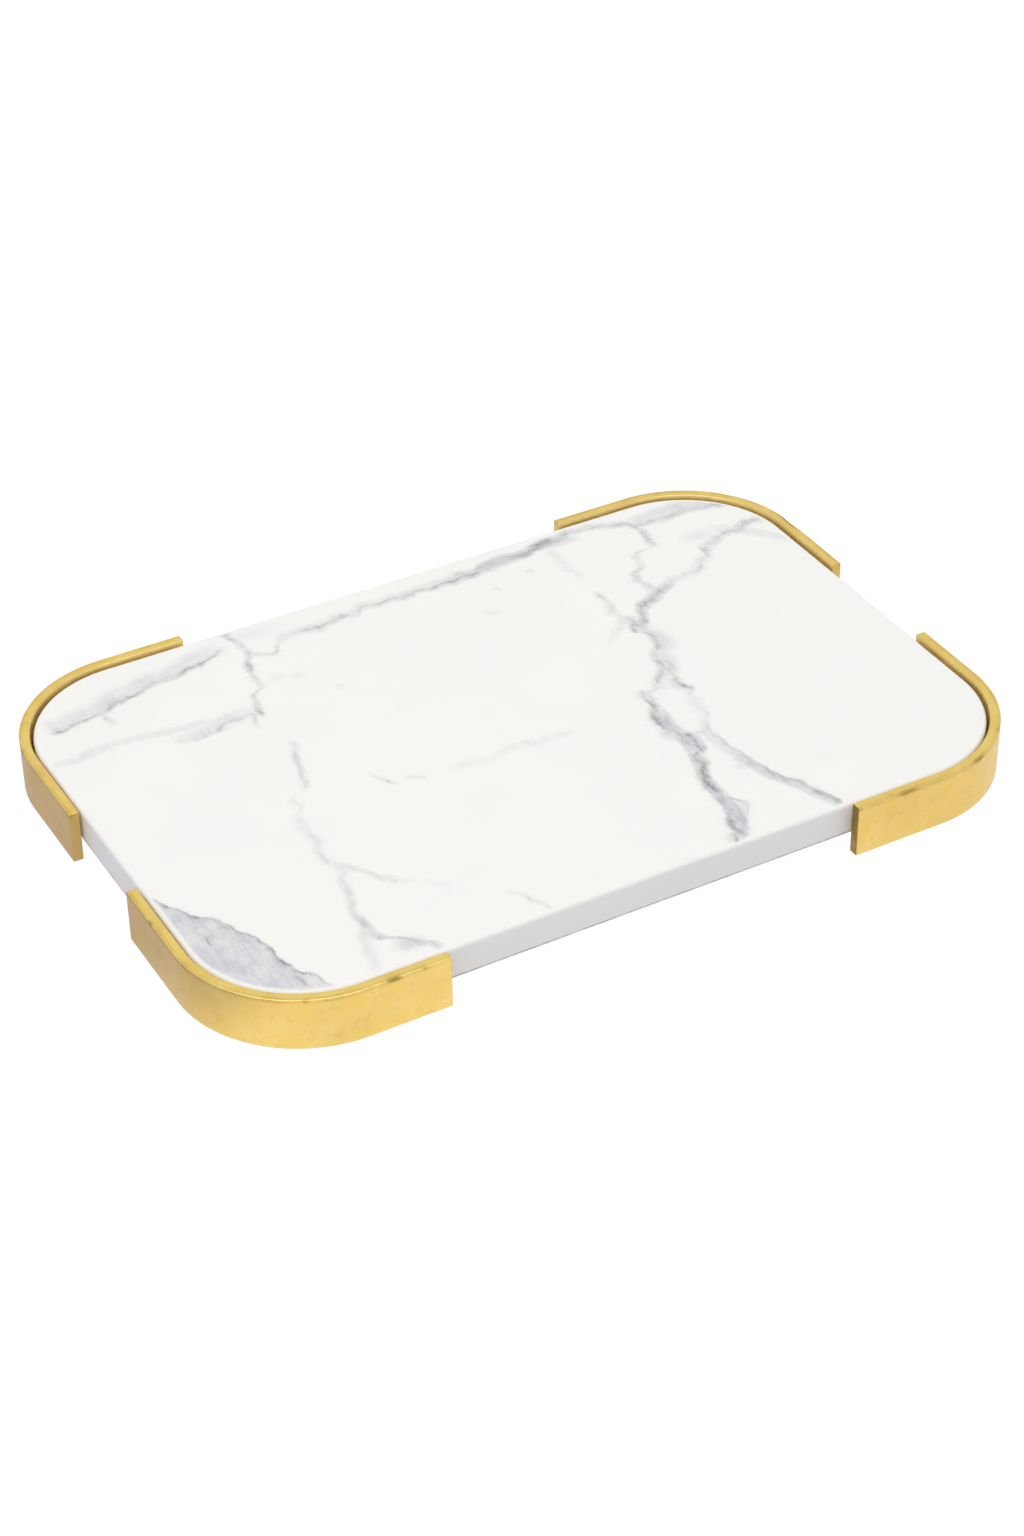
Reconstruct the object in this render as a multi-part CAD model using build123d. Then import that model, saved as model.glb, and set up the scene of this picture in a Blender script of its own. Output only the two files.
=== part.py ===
from build123d import *
import math
import os

# A serving or vanity tray: a stone slab held at its four corners by bent flat-bar brackets.
# Millimetres. +X runs along the long side, +Y to the back, +Z up. The origin is at the
# centre of the tray's footprint, on the surface that the four rubber feet stand on.

# Overall
LENGTH = 400.0  # over the brackets, along X
WIDTH = 271.0  # over the brackets, along Y
CORNER_RADIUS = 59.0  # outside of the bend

# Flat bar that the brackets are bent from
BAR_HEIGHT = 25.4
BAR_THICKNESS = 4.8
BAR_EDGE_RADIUS = 0.5  # worn arris along the bar
ARM_REACH = 101.5  # from the outside of one arm to the cut end of the other
# Each corner: name, side along X, side along Y, and how far the blank was bent off its middle,
# which makes the arm along X longer by that much and the arm along Y shorter.
CORNERS = (
    ("front_left", -1, -1, -4.8),
    ("front_right", 1, -1, 3.0),
    ("rear_right", 1, 1, -2.4),
    ("rear_left", -1, 1, -2.2),
)

# Slab
SLAB_THICKNESS = 16.0
SLAB_GAP = 1.4  # air between the slab's side and the bar
LIP = 1.2  # the bar stands this far above the slab
SLAB_TOP_EASE = 1.6
SLAB_BOTTOM_EASE = 0.8

# Shelf brazed into each bend, and the sheet that cushions the slab on it
SHELF_THICKNESS = 3.0
SHELF_SETBACK = 22.0  # from the cut end of each arm
SHELF_END_WIDTH = 15.0
CUSHION_THICKNESS = 1.0
CUSHION_INSET = 2.0

# Rubber foot under each shelf
FOOT_PROUD = 0.6  # the feet keep the bars this far off the table
FOOT_DIAMETER = 16.0
FOOT_TAPER = 1.0  # the tread is this much smaller on the radius
FOOT_EDGE_RADIUS = 0.8

# Countersunk machine screws, two to a shelf, and the inserts that they turn into
SCREW_DIAMETER = 4.0
SCREW_LENGTH = 12.0
SCREW_HEAD_DIAMETER = 8.0
SCREW_HEAD_RIM = 0.3
SCREW_KEY_ACROSS_FLATS = 2.5
SCREW_KEY_DEPTH = 1.3
SCREW_END_MARGIN = 16.0  # from the shelf's end
SCREW_FROM_BAR = 13.0  # from the bar's inner face
SCREW_HOLE_CLEARANCE = 0.25  # on the radius, in the shelf and the cushion
INSERT_WALL = 1.2
INSERT_LENGTH = 9.0
INSERT_WAIST_DEPTH = 0.4  # groove that the setting resin fills
INSERT_WAIST_LENGTH = 2.0
INSERT_HOLE_SPARE = 1.5  # blind hole beyond the insert

# Heights that follow from the stack
BAR_BOTTOM = FOOT_PROUD
BAR_TOP = BAR_BOTTOM + BAR_HEIGHT
SLAB_TOP = BAR_TOP - LIP
SLAB_BOTTOM = SLAB_TOP - SLAB_THICKNESS
SHELF_TOP = SLAB_BOTTOM - CUSHION_THICKNESS
SHELF_BOTTOM = SHELF_TOP - SHELF_THICKNESS
INSERT_RADIUS = SCREW_DIAMETER / 2 + INSERT_WALL
SCREW_HOLE_RADIUS = SCREW_DIAMETER / 2 + SCREW_HOLE_CLEARANCE
CLEAR_OF = 1.0  # how far a cutting shape runs past what it cuts


def outline(inset):
    """The tray's rounded rectangle, moved in by inset; its corners keep one centre."""
    return RectangleRounded(LENGTH - 2 * inset, WIDTH - 2 * inset, CORNER_RADIUS - inset)


def in_corner(corner, from_side, from_front):
    """A point given by its distances in from the two outer sides that meet at a corner."""
    _, side_x, side_y, _ = corner
    return side_x * (LENGTH / 2 - from_side), side_y * (WIDTH / 2 - from_front)


def reaches(corner):
    """How far the arm along X and the arm along Y reach in from the corner."""
    shift = corner[3]
    return ARM_REACH + shift, ARM_REACH - shift


def prism(sketch, bottom, height):
    return extrude(Pos(0, 0, bottom) * sketch, height)


def make_slab(holes):
    slab = prism(outline(BAR_THICKNESS + SLAB_GAP), SLAB_BOTTOM, SLAB_THICKNESS)
    slab = fillet(slab.faces().sort_by(Axis.Z)[-1].edges(), SLAB_TOP_EASE)
    slab = chamfer(slab.faces().sort_by(Axis.Z)[0].edges(), SLAB_BOTTOM_EASE)
    depth = INSERT_LENGTH + INSERT_HOLE_SPARE
    bore = Cylinder(INSERT_RADIUS, depth, align=(Align.CENTER, Align.CENTER, Align.MIN))
    for x, y in holes:
        slab -= Pos(x, y, SLAB_BOTTOM) * bore
    return slab


def make_bracket(corner):
    reach_x, reach_y = reaches(corner)
    x, y = in_corner(corner, reach_x / 2, reach_y / 2)
    band = outline(0) - outline(BAR_THICKNESS)
    bent = prism(band & Pos(x, y) * Rectangle(reach_x, reach_y), BAR_BOTTOM, BAR_HEIGHT)
    flats = bent.faces().filter_by(Axis.Z)
    return fillet(flats.edges(), BAR_EDGE_RADIUS)


def shelf_sketch(corner):
    """Gusset that fills the bend: its outer edge lies on the bar, its inner edge is straight."""
    reach_x, reach_y = reaches(corner)
    end_x, end_y = reach_x - SHELF_SETBACK, reach_y - SHELF_SETBACK
    width = BAR_THICKNESS + SHELF_END_WIDTH
    corners_in = ((0, 0), (end_x, 0), (end_x, width), (width, end_y), (0, end_y))
    wedge = Polygon(*(in_corner(corner, u, v) for u, v in corners_in), align=None)
    return outline(BAR_THICKNESS) & wedge


def screw_points(corner):
    """One screw near each end of the shelf."""
    in_from_bar = BAR_THICKNESS + SCREW_FROM_BAR
    along_x, along_y = (r - SHELF_SETBACK - SCREW_END_MARGIN for r in reaches(corner))
    return [in_corner(corner, along_x, in_from_bar), in_corner(corner, in_from_bar, along_y)]


def foot_point(corner):
    """Half way across the shelf on the bend's own diagonal."""
    reach_x, reach_y = reaches(corner)
    width = BAR_THICKNESS + SHELF_END_WIDTH
    end_x, end_y = reach_x - SHELF_SETBACK, reach_y - SHELF_SETBACK
    # The straight edge runs from (end_x, width) to (width, end_y); the diagonal is u = v.
    share = (end_x - width) / ((end_x - width) + (end_y - width))
    inner = end_x + share * (width - end_x)
    bend = CORNER_RADIUS - (CORNER_RADIUS - BAR_THICKNESS) / math.sqrt(2)
    middle = (inner + bend) / 2
    return in_corner(corner, middle, middle)


def countersink(grow):
    """The screw's head as a shape: a short rim, then a cone down to the shank."""
    head, shank = SCREW_HEAD_DIAMETER / 2, SCREW_DIAMETER / 2
    cone = head - shank
    points = ((0, 0), (head + grow, 0), (head + grow, SCREW_HEAD_RIM),
              (shank + grow, SCREW_HEAD_RIM + cone), (0, SCREW_HEAD_RIM + cone))
    return revolve(Plane.XZ * Polygon(*points, align=None), Axis.Z)


def make_shelf(corner):
    shelf = prism(shelf_sketch(corner), SHELF_BOTTOM, SHELF_THICKNESS)
    hole = Cylinder(SCREW_HOLE_RADIUS, SHELF_THICKNESS + 2 * CLEAR_OF)
    for x, y in screw_points(corner):
        shelf -= Pos(x, y, (SHELF_BOTTOM + SHELF_TOP) / 2) * hole
        shelf -= Pos(x, y, SHELF_BOTTOM) * countersink(0)
    return shelf


def make_cushion(corner):
    sheet = prism(offset(shelf_sketch(corner), -CUSHION_INSET), SHELF_TOP, CUSHION_THICKNESS)
    hole = Cylinder(SCREW_HOLE_RADIUS, CUSHION_THICKNESS + 2 * CLEAR_OF)
    for x, y in screw_points(corner):
        sheet -= Pos(x, y, SHELF_TOP + CUSHION_THICKNESS / 2) * hole
    return sheet


def make_foot(corner):
    root = FOOT_DIAMETER / 2
    tread = root - FOOT_TAPER
    foot = Cone(tread, root, SHELF_BOTTOM, align=(Align.CENTER, Align.CENTER, Align.MIN))
    edge = min(FOOT_EDGE_RADIUS, SHELF_BOTTOM / 3)
    foot = fillet(foot.faces().sort_by(Axis.Z)[0].edges(), edge)
    return Pos(*foot_point(corner), 0) * foot


def make_screw(x, y):
    shank = Cylinder(SCREW_DIAMETER / 2, SCREW_LENGTH, align=(Align.CENTER, Align.CENTER, Align.MIN))
    key = RegularPolygon(SCREW_KEY_ACROSS_FLATS / 2, 6, major_radius=False)
    screw = shank + countersink(0) - extrude(key, SCREW_KEY_DEPTH)
    return Pos(x, y, SHELF_BOTTOM) * screw


def make_insert(x, y):
    bore, body = SCREW_DIAMETER / 2, INSERT_RADIUS
    waist = body - INSERT_WAIST_DEPTH
    low = (INSERT_LENGTH - INSERT_WAIST_LENGTH) / 2
    high = low + INSERT_WAIST_LENGTH
    points = ((bore, 0), (body, 0), (body, low), (waist, low), (waist, high),
              (body, high), (body, INSERT_LENGTH), (bore, INSERT_LENGTH))
    insert = revolve(Plane.XZ * Polygon(*points, align=None), Axis.Z)
    return Pos(x, y, SLAB_BOTTOM) * insert


def write(shape, node):
    shape.label = node
    export_step(shape, f"parts/{node}.step")


os.makedirs("parts", exist_ok=True)
fixings = [point for corner in CORNERS for point in screw_points(corner)]
write(make_slab(fixings), "marble_slab")
for corner in CORNERS:
    name = corner[0]
    write(make_bracket(corner), f"{name}_bracket")
    write(make_shelf(corner), f"{name}_shelf")
    write(make_cushion(corner), f"{name}_cushion")
    write(make_foot(corner), f"{name}_foot")
write(Compound(children=[make_screw(x, y) for x, y in fixings]), "shelf_screws")
write(Compound(children=[make_insert(x, y) for x, y in fixings]), "threaded_inserts")
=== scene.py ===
# %% [markdown]
# # A marble vanity tray in four gilded corner brackets
# The real tray is one slab of white, grey-veined stone. Four flat bars, each bent once and
# gilded, stand on edge round its corners, and small shelves inside them carry the stone.
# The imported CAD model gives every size. This script keeps those sizes and works on the looks:
# it rebuilds the slab, the brackets and the feet as finer surfaces, and gives every piece a
# finish made of shader nodes, so nothing here is read from a picture.

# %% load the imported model
import math

import bpy
import numpy as np
from mathutils import Matrix, Vector


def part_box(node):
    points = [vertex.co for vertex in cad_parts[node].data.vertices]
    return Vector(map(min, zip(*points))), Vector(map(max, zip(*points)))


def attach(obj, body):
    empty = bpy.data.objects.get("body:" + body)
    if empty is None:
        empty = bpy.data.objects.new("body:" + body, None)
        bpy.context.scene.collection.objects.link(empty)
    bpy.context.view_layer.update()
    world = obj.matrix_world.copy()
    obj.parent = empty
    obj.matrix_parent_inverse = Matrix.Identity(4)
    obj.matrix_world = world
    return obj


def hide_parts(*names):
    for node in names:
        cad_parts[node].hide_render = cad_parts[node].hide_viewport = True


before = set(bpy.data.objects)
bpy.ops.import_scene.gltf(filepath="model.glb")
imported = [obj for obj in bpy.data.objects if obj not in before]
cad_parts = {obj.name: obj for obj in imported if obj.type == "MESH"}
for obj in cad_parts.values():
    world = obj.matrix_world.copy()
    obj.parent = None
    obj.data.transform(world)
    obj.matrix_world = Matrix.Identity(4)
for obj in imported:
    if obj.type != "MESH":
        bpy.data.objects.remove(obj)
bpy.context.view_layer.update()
MM = 0.001
CORNERS = ("front_left", "front_right", "rear_right", "rear_left")

# %% [markdown]
# ## Driving sizes
# In millimetres, and the same as in the CAD source. The slab's corner follows from the bar it
# stands inside, and the bores for the inserts follow from the shelf, the screw and the insert.

# %% sizes that several pieces share
BEND_RADIUS = 59.0
BAR_THICKNESS = 4.8
SLAB_GAP = 1.4
SLAB_CORNER = BEND_RADIUS - BAR_THICKNESS - SLAB_GAP
SCREW_FROM_BAR = 13.0
SCREW_IN_FROM_OUTSIDE = BAR_THICKNESS + SCREW_FROM_BAR
SHELF_SETBACK = 22.0
SCREW_END_MARGIN = 16.0
SCREW_BACK_FROM_ARM_END = SHELF_SETBACK + SCREW_END_MARGIN
SCREW_RADIUS = 2.0
INSERT_WALL = 1.2
BORE_RADIUS = SCREW_RADIUS + INSERT_WALL
INSERT_LENGTH = 9.0
BORE_SPARE = 1.5
BORE_DEPTH = INSERT_LENGTH + BORE_SPARE
SHARP_ANGLE = math.radians(32)
print("slab corner", round(SLAB_CORNER, 2), "mm, insert bores", BORE_RADIUS, "x", BORE_DEPTH, "mm")

# %% [markdown]
# ## Turning arrays into pieces
# Each new surface is a grid: one number walks round a section, the other walks along a path.
# The corners of every small face then follow from counting, so one helper lists the faces of
# any grid, and a second one hands the points and faces to Blender. A closed shape has a signed
# volume that is positive only when its faces look outwards, which settles their direction.


# %% faces of a grid, and the piece made from them
def ring_faces(rings, around):
    """Faces between neighbouring rings: point j of ring i joins point j+1 and the next ring."""
    i, j = np.meshgrid(np.arange(rings - 1), np.arange(around), indexing="ij")
    after = (j + 1) % around
    corners = (i * around + j, i * around + after, (i + 1) * around + after, (i + 1) * around + j)
    return np.stack(corners, axis=-1).reshape(-1, 4)


def signed_volume(points, faces):
    """Six times the volume under each fan triangle, added up: positive when faces look out."""
    total = 0.0
    for size in {len(face) for face in faces}:
        same = np.array([face for face in faces if len(face) == size])
        for k in range(1, size - 1):
            a, b, c = points[same[:, 0]], points[same[:, k]], points[same[:, k + 1]]
            total += np.einsum("ij,ij->", a, np.cross(b, c))
    return total / 6.0


def capped(rings, around):
    """The faces between the rings, and one flat face on each end."""
    ends = (np.arange(around)[::-1], np.arange(around) + (rings - 1) * around)
    return [*ring_faces(rings, around), *ends]


def new_piece(name, points_mm, faces, material, body="root"):
    """A smooth closed mesh object at the origin, from points in millimetres."""
    faces = [list(map(int, face)) for face in faces]
    if signed_volume(points_mm, faces) < 0:
        faces = [face[::-1] for face in faces]
    mesh = bpy.data.meshes.new(name)
    mesh.from_pydata((points_mm * MM).tolist(), [], faces)
    mesh.shade_smooth()
    mesh.set_sharp_from_angle(angle=SHARP_ANGLE)
    mesh.materials.append(material)
    piece = bpy.data.objects.new(name, mesh)
    bpy.context.scene.collection.objects.link(piece)
    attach(piece, body)
    print(name, "has", len(points_mm), "points and", len(faces), "faces")
    return piece


# %% [markdown]
# ## Short words for shader nodes
# A finish is a small network. These helpers add one node each and give back the socket that
# carries its result, so a network reads like a sum written from the inside out.


# %% one node per helper
def add_node(tree, kind, **settings):
    """A new node of that kind with its properties set."""
    made = tree.nodes.new(kind)
    for key, value in settings.items():
        setattr(made, key, value)
    return made


def feed(tree, socket, value):
    """Joins an output socket to an input, or stores a plain number or colour on it."""
    if isinstance(value, bpy.types.NodeSocket):
        tree.links.new(value, socket)
    else:
        socket.default_value = value


def maths(tree, operation, *values, clamp=False):
    """The result of one Math node."""
    made = add_node(tree, "ShaderNodeMath", operation=operation, use_clamp=clamp)
    for socket, value in zip(made.inputs, values):
        feed(tree, socket, value)
    return made.outputs[0]


def vector_maths(tree, operation, *values):
    """The result of one Vector Math node, a number where the operation gives one."""
    made = add_node(tree, "ShaderNodeVectorMath", operation=operation)
    for socket, value in zip(made.inputs, values):
        feed(tree, socket, value)
    return made.outputs["Value" if operation == "LENGTH" else "Vector"]


def ramp(tree, value, start, end, low=0.0, high=1.0, smooth=True):
    """Value from start to end becomes low to high, and stays there beyond either end."""
    made = add_node(tree, "ShaderNodeMapRange", interpolation_type="SMOOTHSTEP" if smooth else "LINEAR")
    for key, number in (("From Min", start), ("From Max", end), ("To Min", low), ("To Max", high)):
        feed(tree, made.inputs[key], number)
    feed(tree, made.inputs["Value"], value)
    return made.outputs["Result"]


def colour_mix(tree, factor, first, second):
    """First colour where the factor is 0, second where it is 1."""
    made = add_node(tree, "ShaderNodeMix", data_type="RGBA")
    feed(tree, made.inputs[0], factor)
    for socket, value in ((made.inputs[6], first), (made.inputs[7], second)):
        feed(tree, socket, value if isinstance(value, bpy.types.NodeSocket) else (*value, 1.0))
    return made.outputs[2]


def shader_mix(tree, factor, first, second):
    """First shader where the factor is 0, second where it is 1."""
    made = add_node(tree, "ShaderNodeMixShader")
    for socket, value in zip(made.inputs, (factor, first, second)):
        feed(tree, socket, value)
    return made.outputs[0]


def parted(tree, vector):
    """The X, Y and Z of a vector, as three sockets by name."""
    made = add_node(tree, "ShaderNodeSeparateXYZ")
    feed(tree, made.inputs[0], vector)
    return made.outputs


def painted(tree, name):
    """The number stored on the mesh under that name."""
    return add_node(tree, "ShaderNodeAttribute", attribute_name=name).outputs["Fac"]


def speckle(tree, vector, per_mm, detail=3.0, roughness=0.5, colour=False):
    """Cloudy noise with that many lumps to a millimetre, as a value from about 0.2 to 0.8."""
    made = add_node(tree, "ShaderNodeTexNoise")
    feed(tree, made.inputs["Vector"], vector)
    for key, number in (("Scale", per_mm), ("Detail", detail), ("Roughness", roughness)):
        made.inputs[key].default_value = number
    return made.outputs["Color" if colour else "Fac"]


def millimetres(tree):
    """The point being shaded, in millimetres in the tray's own frame."""
    place = add_node(tree, "ShaderNodeTexCoord")
    scaled = add_node(tree, "ShaderNodeVectorMath", operation="SCALE")
    scaled.inputs["Scale"].default_value = 1.0 / MM
    feed(tree, scaled.inputs[0], place.outputs["Object"])
    return scaled.outputs[0]


def new_finish(name):
    """A material with one Principled BSDF; returns the material, its tree and that node."""
    finish = bpy.data.materials.new(name)
    finish.use_nodes = True
    shader = next(n for n in finish.node_tree.nodes if n.type == "BSDF_PRINCIPLED")
    return finish, finish.node_tree, shader


def relief(tree, shader, height, strength, depth_mm):
    """Feeds a height pattern to the shader's normal through a Bump node."""
    bump = add_node(tree, "ShaderNodeBump")
    bump.inputs["Strength"].default_value = strength
    bump.inputs["Distance"].default_value = depth_mm * MM
    feed(tree, bump.inputs["Height"], height)
    feed(tree, shader.inputs["Normal"], bump.outputs["Normal"])


def new_group(name, inputs, outputs):
    """A shader node group; each socket has a name and a kind, f for a float, v for a vector."""
    kinds = {"f": "NodeSocketFloat", "v": "NodeSocketVector"}
    tree = bpy.data.node_groups.new(name, "ShaderNodeTree")
    for label, kind in inputs:
        tree.interface.new_socket(label, in_out="INPUT", socket_type=kinds[kind])
    for label, kind in outputs:
        tree.interface.new_socket(label, in_out="OUTPUT", socket_type=kinds[kind])
    return tree, tree.nodes.new("NodeGroupInput"), tree.nodes.new("NodeGroupOutput")


def place_group(tree, group, **values):
    """One use of a group; a keyword names a socket, with _ for a space."""
    made = add_node(tree, "ShaderNodeGroup", node_tree=group)
    for key, value in values.items():
        feed(tree, made.inputs[key.replace("_", " ")], value)
    return made.outputs


# %% [markdown]
# ## Clouding that several finishes share
# Stone, gilding and rubber all vary a little from place to place: a soft blotch the size of a
# fingertip and a fine grain on top. One group makes both, so every material asks for the same
# effect with its own sizes.

# %% group: blotches and grain
surface_marks, marks_in, marks_out = new_group(
    "surface marks",
    [("Vector", "v"), ("Blotches Per Mm", "f"), ("Grain Per Mm", "f")],
    [("Blotches", "f"), ("Grain", "f")],
)
for label, source, detail, low, high in (
    ("Blotches", "Blotches Per Mm", 4.0, 0.36, 0.64),
    ("Grain", "Grain Per Mm", 3.0, 0.30, 0.70),
):
    marks_noise = add_node(surface_marks, "ShaderNodeTexNoise")
    marks_noise.inputs["Detail"].default_value = detail
    marks_noise.inputs["Roughness"].default_value = 0.55
    feed(surface_marks, marks_noise.inputs["Vector"], marks_in.outputs["Vector"])
    feed(surface_marks, marks_noise.inputs["Scale"], marks_in.outputs[source])
    spread = ramp(surface_marks, marks_noise.outputs["Fac"], low, high)
    feed(surface_marks, marks_out.inputs[label], spread)

# %% [markdown]
# ## How near the rim a point is
# The slab and the shade under it both follow a rounded rectangle. Measured from the nearest
# corner centre, its rim lies at one distance all the way round: the corner radius. Folding the
# plane with absolute values leaves only one corner to measure.

# %% group: distance past the corner centres
rim_group, rim_in, rim_out = new_group(
    "rounded rectangle reach", [("Vector", "v"), ("Corner Centre", "v")], [("Reach", "f")]
)
folded = vector_maths(rim_group, "ABSOLUTE", rim_in.outputs["Vector"])
past_centre = vector_maths(rim_group, "SUBTRACT", folded, rim_in.outputs["Corner Centre"])
past_centre = vector_maths(rim_group, "MAXIMUM", past_centre, (0.0, 0.0, 0.0))
feed(rim_group, rim_out.inputs["Reach"], vector_maths(rim_group, "LENGTH", past_centre))

# %% [markdown]
# ## One vein of the marble
# A vein is a crooked dark line with a soft grey cloud beside it. It is drawn along a straight
# chord: `along` runs from 0 to 1 down the chord, and a curve says how far the vein swings to
# the side there, how dark its core is and how strong its cloud is. The group below turns the
# distance from that line into the two masks, and keeps the stronger of its own and the ones
# it was handed, so any number of veins can be chained.

# %% group: core and cloud of a vein
vein_group, vein_in, vein_out = new_group(
    "marble vein",
    [
        ("Across", "f"), ("Bend", "f"), ("Core", "f"), ("Soft", "f"), ("Length", "f"),
        ("Swing", "f"), ("Core Width", "f"), ("Soft Left", "f"), ("Soft Right", "f"),
        ("Ragged", "f"), ("Patchy", "f"), ("Core Before", "f"), ("Soft Before", "f"),
    ],
    [("Core", "f"), ("Soft", "f")],
)
v = vein_in.outputs
vein_side = maths(vein_group, "MULTIPLY", v["Across"], v["Length"])
vein_path = maths(vein_group, "MULTIPLY", maths(vein_group, "SUBTRACT", v["Bend"], 0.5), v["Swing"])
vein_gap = maths(vein_group, "SUBTRACT", vein_side, vein_path)
vein_near = maths(vein_group, "MULTIPLY", maths(vein_group, "ABSOLUTE", vein_gap), v["Ragged"])
core_reach = maths(vein_group, "DIVIDE", vein_near, v["Core Width"])
core_skirt = ramp(vein_group, core_reach, 0.0, 3.0, 0.35, 0.0)
core_shape = maths(vein_group, "MAXIMUM", ramp(vein_group, core_reach, 0.0, 1.5, 1.0, 0.0), core_skirt)
core_here = maths(vein_group, "MULTIPLY", maths(vein_group, "MULTIPLY", core_shape, v["Core"]), v["Patchy"])
left_part = maths(vein_group, "DIVIDE", maths(vein_group, "MAXIMUM", vein_gap, 0.0), v["Soft Left"])
right_part = maths(vein_group, "DIVIDE", maths(vein_group, "MINIMUM", vein_gap, 0.0), v["Soft Right"])
soft_reach = maths(vein_group, "SUBTRACT", left_part, right_part)
soft_shape = ramp(vein_group, soft_reach, 0.40, 1.0, 1.0, 0.0)
soft_here = maths(vein_group, "MULTIPLY", soft_shape, v["Soft"])
feed(vein_group, vein_out.inputs["Core"], maths(vein_group, "MAXIMUM", core_here, v["Core Before"]))
feed(vein_group, vein_out.inputs["Soft"], maths(vein_group, "MAXIMUM", soft_here, v["Soft Before"]))
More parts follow.
